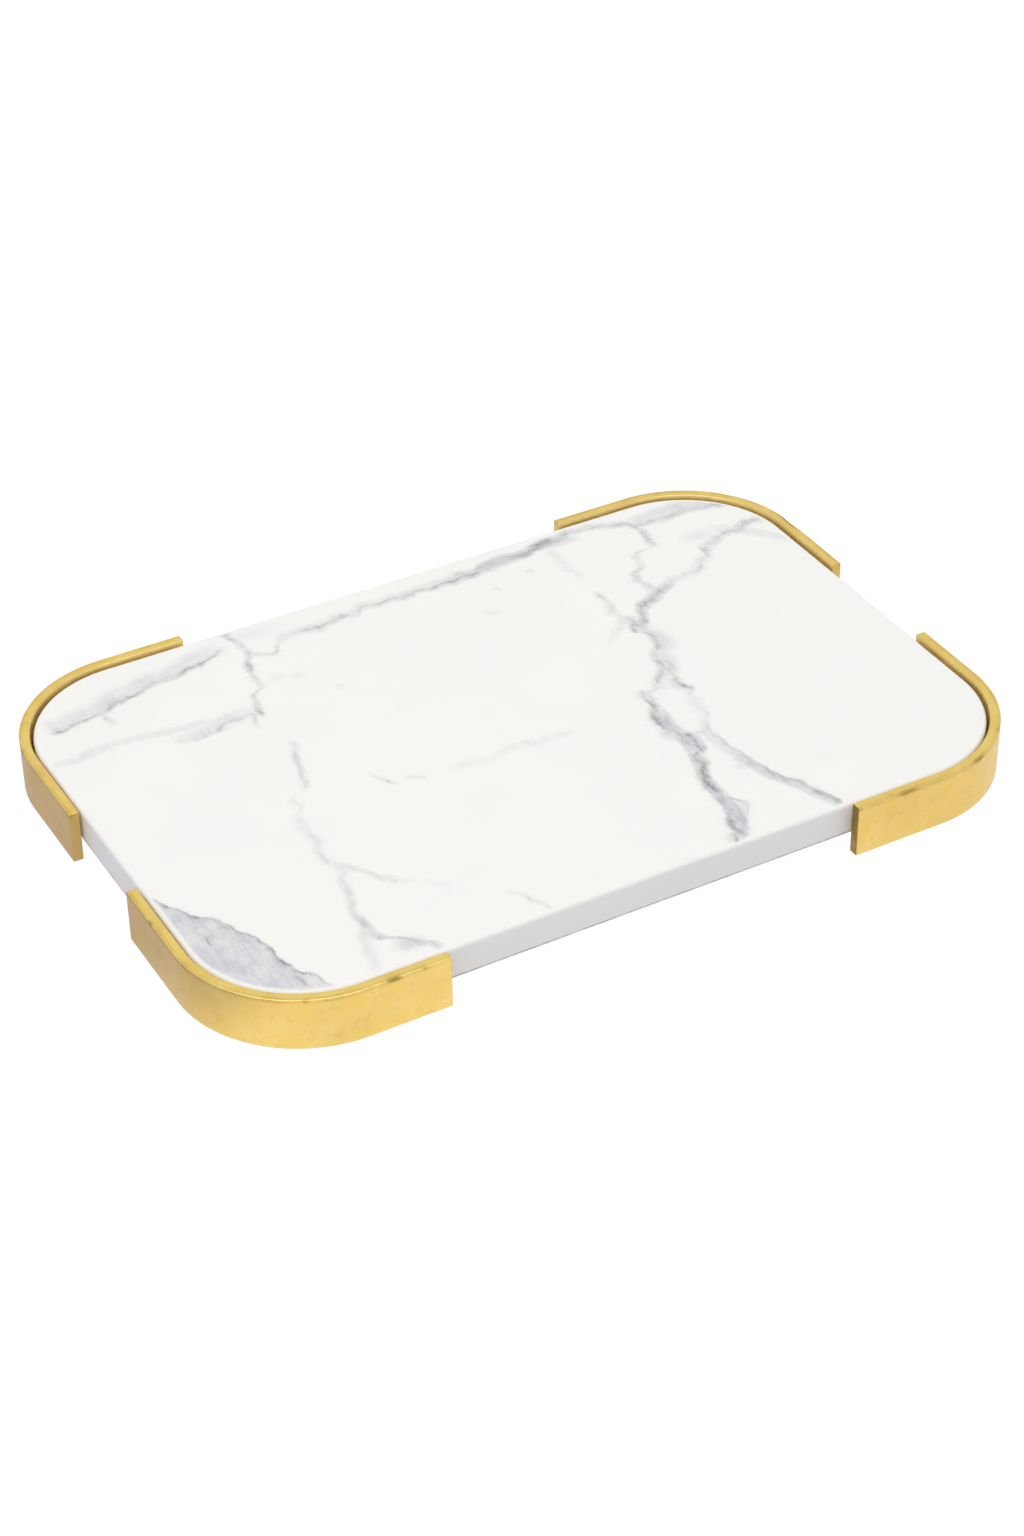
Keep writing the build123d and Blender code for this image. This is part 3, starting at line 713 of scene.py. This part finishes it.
# %% gilding: colour and surface
gold_colour = colour_mix(gold, gold_marks["Blotches"], (0.86, 0.615, 0.165), (0.92, 0.70, 0.235))
for mask, tint in (
    (maths(gold, "MULTIPLY", gold_marks["Grain"], 0.16), (0.62, 0.40, 0.09)),
    (smudges, (0.72, 0.49, 0.16)),
    (patina, (0.66, 0.42, 0.13)),
    # a painted highlight, then a painted dark line of shade along the arris
    (painted_arris_highlight, (0.97, 0.80, 0.34)),
    (painted_arris_shade, (0.52, 0.35, 0.06)),
    (pits, (0.30, 0.17, 0.04)),
    # painted bounce light on the wall facing the stone
    (painted_gap_light, (1.0, 0.80, 0.36)),
    (knocked, (0.16, 0.085, 0.02)),
    (sawn_end, (0.30, 0.20, 0.055)),
):
    gold_colour = colour_mix(gold, mask, gold_colour, tint)
feed(gold, gold_shader.inputs["Base Color"], gold_colour)
gold_rough = ramp(gold, gold_marks["Blotches"], 0.0, 1.0, 0.30, 0.44)
gold_rough = maths(gold, "MULTIPLY_ADD", maths(gold, "ADD", knocked, sawn_end), 0.2, gold_rough)
feed(gold, gold_shader.inputs["Roughness"], gold_rough)
gold_shader.inputs["Metallic"].default_value = 1.0
gold_height = maths(gold, "MULTIPLY_ADD", gold_marks["Blotches"], 4.0, gold_marks["Grain"])
relief(gold, gold_shader, gold_height, 0.5, 0.012)
print("the gilding has", len(gold.nodes), "nodes")

# %% [markdown]
# ## Plain finishes under the tray
# The shelf plates are the same brass left brushed, with fine lines along the tray. Rubber is
# dull and slightly dusty. The screws are zinc-plated steel, and the inserts turned brass.


# %% brushed metal and rubber finishes
def brushed_metal(name, light, dark, roughness):
    """Metal with brush lines along X: noise squeezed until it is a few hundredths wide."""
    finish, tree, shader = new_finish(name)
    place = millimetres(tree)
    squeeze = add_node(tree, "ShaderNodeMapping")
    squeeze.inputs["Scale"].default_value = (0.05, 3.0, 3.0)
    feed(tree, squeeze.inputs["Vector"], place)
    lines = ramp(tree, speckle(tree, squeeze.outputs[0], 1.0, 4.0), 0.3, 0.7)
    marks = place_group(tree, surface_marks, Vector=place, Blotches_Per_Mm=0.09, Grain_Per_Mm=1.1)
    tone = maths(tree, "MULTIPLY_ADD", lines, 0.6, maths(tree, "MULTIPLY", marks["Blotches"], 0.4))
    feed(tree, shader.inputs["Base Color"], colour_mix(tree, tone, dark, light))
    feed(tree, shader.inputs["Roughness"], ramp(tree, tone, 0.0, 1.0, roughness + 0.08, roughness - 0.05))
    shader.inputs["Metallic"].default_value = 1.0
    relief(tree, shader, lines, 0.35, 0.015)
    return finish


def rubber(name, dark, dusty):
    """Dull rubber: a moulded pebble grain, and dust in soft patches."""
    finish, tree, shader = new_finish(name)
    marks = place_group(
        tree, surface_marks, Vector=millimetres(tree), Blotches_Per_Mm=0.15, Grain_Per_Mm=2.2
    )
    dust = maths(tree, "MULTIPLY", marks["Blotches"], 0.5)
    feed(tree, shader.inputs["Base Color"], colour_mix(tree, dust, dark, dusty))
    feed(tree, shader.inputs["Roughness"], ramp(tree, marks["Grain"], 0.0, 1.0, 0.62, 0.82))
    relief(tree, shader, marks["Grain"], 0.5, 0.03)
    return finish


plate_finish = brushed_metal("brushed brass plate", (0.80, 0.58, 0.19), (0.60, 0.40, 0.11), 0.34)
insert_finish = brushed_metal("turned brass", (0.83, 0.62, 0.22), (0.66, 0.45, 0.13), 0.28)
screw_finish = brushed_metal("zinc plated steel", (0.66, 0.66, 0.67), (0.45, 0.45, 0.47), 0.30)
foot_finish = rubber("black foot rubber", (0.022, 0.022, 0.023), (0.075, 0.073, 0.070))
cushion_finish = rubber("grey cushion rubber", (0.055, 0.055, 0.058), (0.12, 0.118, 0.115))

# %% [markdown]
# ## The slab
# The slab is a profile carried round a rounded rectangle. Moving a rounded rectangle inwards
# keeps its corner centres and shortens its corner radius, so one formula gives the outline at
# every step of the profile: a chamfer below, a straight side, and a quarter round on top.

# %% slab surface
SLAB_TOP_ROUND = 1.6
SLAB_FOOT_CHAMFER = 0.8
FLAT_RING = 0.8
ARC_POINTS = 49


def rounded_outline(half_x, half_y, radius, inset):
    """Points round a rounded rectangle whose straight sides have moved in by the inset."""
    turn = np.linspace(0.0, math.pi / 2, ARC_POINTS)
    angles = np.concatenate([turn + k * math.pi / 2 for k in range(4)])
    side_x = np.repeat((1, -1, -1, 1), ARC_POINTS) * (half_x - radius)
    side_y = np.repeat((1, 1, -1, -1), ARC_POINTS) * (half_y - radius)
    reach = radius - inset
    return np.stack((side_x + reach * np.cos(angles), side_y + reach * np.sin(angles)), axis=1)


def slab_profile(low, high):
    """Inset and height of each step, from the underside's flat ring to the top's."""
    bend = np.linspace(0.0, math.pi / 2, 11)
    side = np.linspace(low + SLAB_FOOT_CHAMFER, high - SLAB_TOP_ROUND, 5)[:-1]
    inset = [SLAB_FOOT_CHAMFER + FLAT_RING, SLAB_FOOT_CHAMFER, *np.zeros(len(side))]
    height = [low, low, *side]
    inset += list(SLAB_TOP_ROUND * (1 - np.cos(bend))) + [SLAB_TOP_ROUND + FLAT_RING]
    height += list(high - SLAB_TOP_ROUND + SLAB_TOP_ROUND * np.sin(bend)) + [high]
    return np.array(inset), np.array(height)


slab_inset, slab_height = slab_profile(slab_low.z, slab_high.z)
slab_outlines = [rounded_outline(slab_half.x, slab_half.y, SLAB_CORNER, inset) for inset in slab_inset]
slab_points = np.concatenate([
    np.column_stack((outline, np.full(len(outline), height)))
    for outline, height in zip(slab_outlines, slab_height)
])
slab = new_piece("marble_top", slab_points, capped(len(slab_height), 4 * ARC_POINTS), marble)

# %% [markdown]
# ## Bores for the threaded inserts
# Eight blind holes in the underside take the brass inserts. A hole through a flat face is
# easiest cut from it, so a Boolean modifier subtracts eight drills and is then applied. The
# drills stand where the brackets' own sizes put the screws.

# %% drill the slab
DRILL_SIDES = 48
DRILL_BELOW = 2.0


def corner_signs(corner):
    """-1 or 1 along X and Y for a corner's name."""
    return (1 if "right" in corner else -1), (1 if "rear" in corner else -1)


def screw_places(corner):
    """The two screw centres of a corner, in millimetres, from its bracket's box."""
    low, high = (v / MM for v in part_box(f"{corner}_bracket"))
    sx, sy = corner_signs(corner)
    outer_x, outer_y = (high.x if sx > 0 else low.x), (high.y if sy > 0 else low.y)
    inner_x, inner_y = (low.x if sx > 0 else high.x), (low.y if sy > 0 else high.y)
    return [
        (inner_x + sx * SCREW_BACK_FROM_ARM_END, outer_y - sy * SCREW_IN_FROM_OUTSIDE),
        (outer_x - sx * SCREW_IN_FROM_OUTSIDE, inner_y + sy * SCREW_BACK_FROM_ARM_END),
    ]


def drill_points(x, y, low, high):
    """Two rings of a cylinder, one above the other."""
    turn = np.linspace(0, 2 * math.pi, DRILL_SIDES, endpoint=False)
    ring = np.stack((x + BORE_RADIUS * np.cos(turn), y + BORE_RADIUS * np.sin(turn)), axis=1)
    return np.concatenate([np.column_stack((ring, np.full(DRILL_SIDES, z))) for z in (low, high)])


drills = []
for corner in CORNERS:
    for place in screw_places(corner):
        points = drill_points(*place, slab_low.z - DRILL_BELOW, slab_low.z + BORE_DEPTH)
        drills.append(new_piece(f"drill_{len(drills)}", points, capped(2, DRILL_SIDES), marble))
drill_set = bpy.data.collections.new("drills")
for drill in drills:
    drill_set.objects.link(drill)
cut = slab.modifiers.new("bores", "BOOLEAN")
cut.operation = "DIFFERENCE"
cut.solver = "EXACT"
cut.operand_type = "COLLECTION"
cut.collection = drill_set
bpy.context.view_layer.update()
drilled = bpy.data.meshes.new_from_object(slab.evaluated_get(bpy.context.evaluated_depsgraph_get()))
slab.modifiers.clear()
slab.data = drilled
drilled.shade_smooth()
drilled.set_sharp_from_angle(angle=SHARP_ANGLE)
for drill in drills:
    bpy.data.objects.remove(drill)
bpy.data.collections.remove(drill_set)
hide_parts("marble_slab")
print("the drilled slab has", len(drilled.polygons), "faces")

# %% [markdown]
# ## The corner brackets
# Each bracket is one flat bar bent round a former. Its centre line is a straight, a quarter
# circle and a straight, and its section is a tall thin rectangle with slightly rounded
# arrises. Carrying the section along the line, square to it, gives the whole bar. The sawn
# ends are eased by shrinking the last few sections, and a bar that has been used has knocks
# on its top outer arris, so a few rings there are pressed in by a fraction of a millimetre.

# %% bracket surfaces
ARRIS_RADIUS = 0.5
END_EASE = 0.35
STEP_ALONG = 1.0
STEPS_UP = 14
STEPS_ACROSS = 3
PRESS_SHARE = 0.7
KNOCK_REACH = 1.1
KNOCKS = {
    # distance from the end of the long-side arm, half length, depth, darkness
    "front_left": [(26, 3.2, 0.35, 0.7), (12, 1.0, 0.12, 0.3), (63, 1.5, 0.10, 0.3), (150, 2.0, 0.15, 0.4)],
    "front_right": [(1.0, 1.2, 0.20, 0.3), (26, 5.0, 0.25, 0.5), (66, 3.5, 0.25, 0.5), (90, 1.2, 0.12, 0.3)],
    "rear_right": [(130, 5.5, 0.40, 0.9), (40, 1.5, 0.15, 0.4), (92, 2.0, 0.12, 0.3)],
    "rear_left": [(176, 4.0, 0.30, 0.1), (60, 1.2, 0.12, 0.3), (120, 2.0, 0.15, 0.2)],
}
SAWN = {"front_left": 0.3, "front_right": 0.9, "rear_right": 0.3, "rear_left": 0.0}


def bar_path(arm_x, arm_y):
    """Centre line, outward direction and distance of a bar bent round the first quadrant's
    corner: along X, round the quarter circle, then down Y. The origin is the arc's centre."""
    middle = BEND_RADIUS - BAR_THICKNESS / 2
    arc = middle * math.pi / 2
    length = arm_x + arc + arm_y
    ease = END_EASE * (1 - np.cos(np.linspace(0, math.pi / 2, 5)))[:-1]
    inner = np.linspace(END_EASE, length - END_EASE, int(length / STEP_ALONG))
    s = np.concatenate((ease, inner, length - ease[::-1]))
    angle = math.pi / 2 - np.clip((s - arm_x) / middle, 0.0, math.pi / 2)
    outward = np.stack((np.cos(angle), np.sin(angle)), axis=1)
    centre = middle * outward
    centre[:, 0] -= np.maximum(arm_x - s, 0.0)
    centre[:, 1] -= np.maximum(s - arm_x - arc, 0.0)
    return centre, outward, s


def bar_section(height):
    """Offsets across the bar and up it, going round a rounded rectangle, with the corner
    each point belongs to and the direction it faces, so that the section can shrink."""
    turn = np.linspace(0, math.pi / 2, 7)
    half = BAR_THICKNESS / 2 - ARRIS_RADIUS
    top = height - ARRIS_RADIUS
    corners = np.array([(half, top), (-half, top), (-half, ARRIS_RADIUS), (half, ARRIS_RADIUS)])
    base, facing = [], []
    for k, corner in enumerate(corners):
        angles = turn + k * math.pi / 2
        base += [corner] * len(angles)
        facing += list(zip(np.cos(angles), np.sin(angles)))
        following = corners[(k + 1) % 4]
        steps = STEPS_UP if k % 2 else STEPS_ACROSS
        for share in np.linspace(0, 1, steps + 1)[1:-1]:
            base.append(corner + share * (following - corner))
            facing.append((math.cos(angles[-1]), math.sin(angles[-1])))
    return np.array(base), np.array(facing)


def bracket_points(corner):
    """All points of one bracket, how far across the bar each is, and two marks: knock, sawn."""
    low, high = (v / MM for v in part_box(f"{corner}_bracket"))
    sx, sy = corner_signs(corner)
    size = high - low
    centre, outward, s = bar_path(size.x - BEND_RADIUS, size.y - BEND_RADIUS)
    base, facing = bar_section(size.z)
    into_end = np.minimum(s, s[-1] - s)
    short_of_full = END_EASE - np.minimum(into_end, END_EASE)
    inset = END_EASE - np.sqrt(np.clip(END_EASE**2 - short_of_full**2, 0, None))
    section = base[None] + facing[None] * (ARRIS_RADIUS - inset)[:, None, None]
    gap = np.hypot(section[..., 0] - BAR_THICKNESS / 2, section[..., 1] - size.z)
    knock = np.zeros(gap.shape)
    pressed = np.zeros(gap.shape)
    for where, half_length, depth, dark in KNOCKS[corner]:
        shape = np.exp(-(((s - where) / half_length) ** 4))[:, None] * np.exp(-((gap / KNOCK_REACH) ** 2))
        pressed = np.maximum(pressed, depth * shape)
        knock = np.maximum(knock, dark * shape)
    section -= pressed[..., None] * PRESS_SHARE
    flat = centre[:, None] + outward[:, None] * section[..., :1]
    corner_x, corner_y = (high.x if sx > 0 else low.x), (high.y if sy > 0 else low.y)
    x = corner_x + sx * (flat[..., 0] - BEND_RADIUS)
    y = corner_y + sy * (flat[..., 1] - BEND_RADIUS)
    points = np.stack((x, y, low.z + section[..., 1]), axis=-1)
    across = section[..., 0] + pressed * PRESS_SHARE
    sawn = np.broadcast_to(SAWN[corner] * np.clip(1 - into_end / END_EASE, 0, 1)[:, None], knock.shape)
    return points, across, knock, sawn


def paint(piece, name, values):
    """Stores one number per point on the mesh under that name."""
    layer = piece.data.attributes.new(name, "FLOAT", "POINT")
    layer.data.foreach_set("value", np.ascontiguousarray(values, np.float32).ravel())


for corner in CORNERS:
    points, across, knock, sawn = bracket_points(corner)
    bracket = new_piece(f"{corner}_bar", points.reshape(-1, 3), capped(*points.shape[:2]), gilding)
    for mark_name, mark in (("across", across), ("knock", knock), ("sawn", sawn)):
        paint(bracket, mark_name, mark)
    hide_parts(f"{corner}_bracket")

# %% [markdown]
# ## The feet
# A moulded rubber foot is turned: a profile spun about its own axis. The tread has two shallow
# rings that break the suction on a polished dresser, and the rim is rounded.

# %% foot surfaces
FOOT_PROFILE = np.array([
    # share of the radius, share of the height; from the tread's middle to the top's middle
    (0.00, 0.000), (0.28, 0.000), (0.31, 0.015), (0.34, 0.060), (0.38, 0.060), (0.41, 0.015),
    (0.44, 0.000), (0.54, 0.000), (0.57, 0.015), (0.60, 0.060), (0.64, 0.060), (0.67, 0.015),
    (0.70, 0.000), (0.775, 0.000), (0.815, 0.012), (0.85, 0.045), (0.872, 0.095), (0.882, 0.160),
    (0.90, 0.300), (0.93, 0.500), (0.96, 0.700), (0.99, 0.930), (0.985, 0.975), (0.965, 1.000),
    (0.60, 1.000), (0.00, 1.000),
])


def turned(profile, centre, radius, low, high, sides=64):
    """Spins a profile about a vertical axis; its first and last points are the poles."""
    turn = np.linspace(0, 2 * math.pi, sides, endpoint=False)
    reach = radius * profile[1:-1, :1]
    height = np.broadcast_to(low + (high - low) * profile[1:-1, 1:], (len(profile) - 2, sides))
    rings = np.stack((centre[0] + reach * np.cos(turn), centre[1] + reach * np.sin(turn), height), axis=-1)
    points = np.concatenate((rings.reshape(-1, 3), [(*centre, low), (*centre, high)]))
    count = len(profile) - 2
    j = np.arange(sides)
    after = (j + 1) % sides
    last = (count - 1) * sides
    bottom = np.stack((np.full(sides, count * sides), after, j), axis=1)
    top = np.stack((np.full(sides, count * sides + 1), j + last, after + last), axis=1)
    return points, [*ring_faces(count, sides), *bottom, *top]


for corner in CORNERS:
    low, high = (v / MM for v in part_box(f"{corner}_foot"))
    middle = (low + high) / 2
    points, faces = turned(FOOT_PROFILE, (middle.x, middle.y), (high.x - low.x) / 2, low.z, high.z)
    foot = new_piece(f"{corner}_pad", points, faces, foot_finish)
    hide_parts(f"{corner}_foot")

# %% [markdown]
# ## Pieces kept from the CAD
# The shelf plates, cushions, screws and inserts have the right shape already, so they only
# get their finishes.

# %% finishes on the kept pieces
kept = {"shelf_screws": screw_finish, "threaded_inserts": insert_finish}
for corner in CORNERS:
    kept[f"{corner}_shelf"] = plate_finish
    kept[f"{corner}_cushion"] = cushion_finish
for node_name, finish in kept.items():
    for material_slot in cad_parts[node_name].material_slots:
        material_slot.material = finish
print(len(kept), "CAD pieces kept")

# %% [markdown]
# ## Floor
# The tray stands on a plain white sweep. The eye sees the sweep as blown-out white with a
# breath of shadow right under the tray, while the gilding sees it with painted shade: white in
# front and a little dimmer to the left, as in a studio with one side closed off. From below the
# sweep is clear, so that the underside can be looked at.

# %% the sweep's sheet
SWEEP_HALF = 6.0
sweep_mesh = bpy.data.meshes.new("white_sweep")
sweep_corners = [(SWEEP_HALF * x, SWEEP_HALF * y, 0) for x, y in ((-1, -1), (1, -1), (1, 1), (-1, 1))]
sweep_mesh.from_pydata(sweep_corners, [], [(0, 1, 2, 3)])
sweep = bpy.data.objects.new("white_sweep", sweep_mesh)
bpy.context.scene.collection.objects.link(sweep)
paper = bpy.data.materials.new("white paper")
paper.use_nodes = True
sheet = paper.node_tree
sheet.nodes.clear()
print("the sweep is", 2 * SWEEP_HALF, "m across")

# %% [markdown]
# ## What the gilding sees of the floor
# A metal bar shows the floor in its sides, so the floor has a brightness of its own for
# reflections, with painted shade in it: a painted shadow darkest under the slab, dim and bluish
# towards the left and the back, and a little dimmer on the right.

# %% the sweep as a mirror sees it
sheet_mm = millimetres(sheet)
sheet_place = parted(sheet, sheet_mm)
towards_back = maths(sheet, "MULTIPLY", sheet_place["Y"], 0.5)
leftness = maths(sheet, "SUBTRACT", towards_back, maths(sheet, "MULTIPLY", sheet_place["X"], 0.85))
under_reach = place_group(sheet, rim_group, Vector=sheet_mm, Corner_Centre=corner_centre)["Reach"]
# painted shade, seen only in reflections: a little dimmer to the right, dim and bluish to the left
mirror_colour = colour_mix(
    sheet, ramp(sheet, sheet_place["X"], 40.0, 130.0), (1.0, 0.98, 1.0), (0.90, 0.88, 0.90)
)
mirror_colour = colour_mix(sheet, ramp(sheet, leftness, 90.0, 165.0), mirror_colour, (0.54, 0.52, 0.66))
# painted shadow, seen only in reflections: dark under the slab
open_floor = ramp(sheet, under_reach, 30.0, 52.0)
mirror_colour = colour_mix(sheet, open_floor, (0.14, 0.12, 0.11), mirror_colour)

# %% [markdown]
# ## What everything else sees
# The camera sees white paper that glows, with a thin layer that takes shade. Glossy rays see
# the painted light and shade above; all other rays light and shade it as plain paper. Seen from
# below it is clear.

# %% the sweep's shaders
mirrored = add_node(sheet, "ShaderNodeEmission")
mirrored.inputs["Strength"].default_value = 1.14
feed(sheet, mirrored.inputs["Color"], mirror_colour)
glowing = add_node(sheet, "ShaderNodeEmission")
glowing.inputs["Strength"].default_value = 0.97
shaded = add_node(sheet, "ShaderNodeBsdfDiffuse")
shaded.inputs["Color"].default_value = (0.10, 0.10, 0.10, 1.0)
glowing_and_shaded = add_node(sheet, "ShaderNodeAddShader")
feed(sheet, glowing_and_shaded.inputs[0], glowing.outputs[0])
feed(sheet, glowing_and_shaded.inputs[1], shaded.outputs[0])
plain = add_node(sheet, "ShaderNodeBsdfDiffuse")
plain.inputs["Color"].default_value = (0.80, 0.795, 0.825, 1.0)
see_through = add_node(sheet, "ShaderNodeBsdfTransparent")
ray = add_node(sheet, "ShaderNodeLightPath")
from_below = add_node(sheet, "ShaderNodeNewGeometry").outputs["Backfacing"]
sheet_look = shader_mix(sheet, ray.outputs["Is Glossy Ray"], plain.outputs[0], mirrored.outputs[0])
sheet_look = shader_mix(sheet, ray.outputs["Is Camera Ray"], sheet_look, glowing_and_shaded.outputs[0])
sheet_look = shader_mix(sheet, from_below, sheet_look, see_through.outputs[0])
feed(sheet, add_node(sheet, "ShaderNodeOutputMaterial").inputs["Surface"], sheet_look)
sweep_mesh.materials.append(paper)
print("the white paper has", len(sheet.nodes), "nodes")

# %% [markdown]
# ## Light
# A white dome that is brighter overhead gives soft, nearly shadowless light. A panel above
# does most of the work on the slab's top, and one behind, on the right, gives the upper edges
# of the bars something bright to reflect.


# %% dome and panels
def soft_panel(name, centre, aim, width, height, radiance, tint=(1, 1, 1)):
    """A rectangular light; its power is pi times radiance times area."""
    lamp = bpy.data.lights.new(name, "AREA")
    lamp.shape = "RECTANGLE"
    lamp.size = width
    lamp.size_y = height
    lamp.energy = radiance * math.pi * width * height
    lamp.color = tint
    placed = bpy.data.objects.new(name, lamp)
    bpy.context.scene.collection.objects.link(placed)
    placed.location = centre
    placed.rotation_euler = (Vector(aim) - Vector(centre)).to_track_quat("-Z", "Y").to_euler()
    placed.visible_camera = False
    print(name, "gives", round(lamp.energy, 2), "W")


soft_panel("overhead_panel", (-0.25, -0.35, 1.9), (0, 0, 0), 2.4, 2.4, 1.23)
soft_panel("back_panel", (0.80, 1.45, 1.25), (0, 0, 0), 2.6, 1.8, 0.41, (0.94, 0.99, 0.86))
world = bpy.data.worlds.new("studio")
bpy.context.scene.world = world
world.use_nodes = True
sky = world.node_tree
sky.nodes.clear()
sky_out = add_node(sky, "ShaderNodeOutputWorld")
sky_ray = add_node(sky, "ShaderNodeLightPath")
sky_direction = parted(sky, add_node(sky, "ShaderNodeTexCoord").outputs["Generated"])
sky_level = ramp(sky, sky_direction["Z"], 0.0, 1.0, 0.46, 0.62, smooth=False)
sky_level = maths(sky, "MAXIMUM", sky_level, sky_ray.outputs["Is Camera Ray"])
dome = add_node(sky, "ShaderNodeBackground")
feed(sky, dome.inputs["Strength"], sky_level)
dome.inputs["Color"].default_value = (1.0, 1.0, 1.0, 1.0)
feed(sky, sky_out.inputs["Surface"], dome.outputs[0])

# %% [markdown]
# ## Camera
# The camera stands in front, to the left and well above, and rolls by under a degree. Its
# place is given as a direction and a distance from a point near the middle of the tray.

# %% camera
AZIMUTH = -0.5051749
ELEVATION = 0.6292793
ROLL = -0.0140257
DISTANCE = 1.40999
TARGET = Vector((-0.0018443, -0.0044140, 0.0012))
FOCAL_LENGTH = 73.26
back = Vector((
    math.sin(AZIMUTH) * math.cos(ELEVATION), -math.cos(AZIMUTH) * math.cos(ELEVATION), math.sin(ELEVATION)
))
level_right = (-back).cross(Vector((0, 0, 1))).normalized()
level_up = level_right.cross(-back)
right = math.cos(ROLL) * level_right + math.sin(ROLL) * level_up
up = -math.sin(ROLL) * level_right + math.cos(ROLL) * level_up
lens = bpy.data.cameras.new("camera")
lens.lens = FOCAL_LENGTH
lens.sensor_width = 36.0
lens.clip_start = 0.01
camera = bpy.data.objects.new("camera", lens)
bpy.context.scene.collection.objects.link(camera)
turned_to = Matrix((right, up, back)).transposed().to_4x4()
camera.matrix_world = Matrix.Translation(TARGET + back * DISTANCE) @ turned_to
bpy.context.scene.camera = camera
bpy.context.scene.view_settings.view_transform = "Standard"
print("camera at", [round(v, 4) for v in camera.matrix_world.translation])
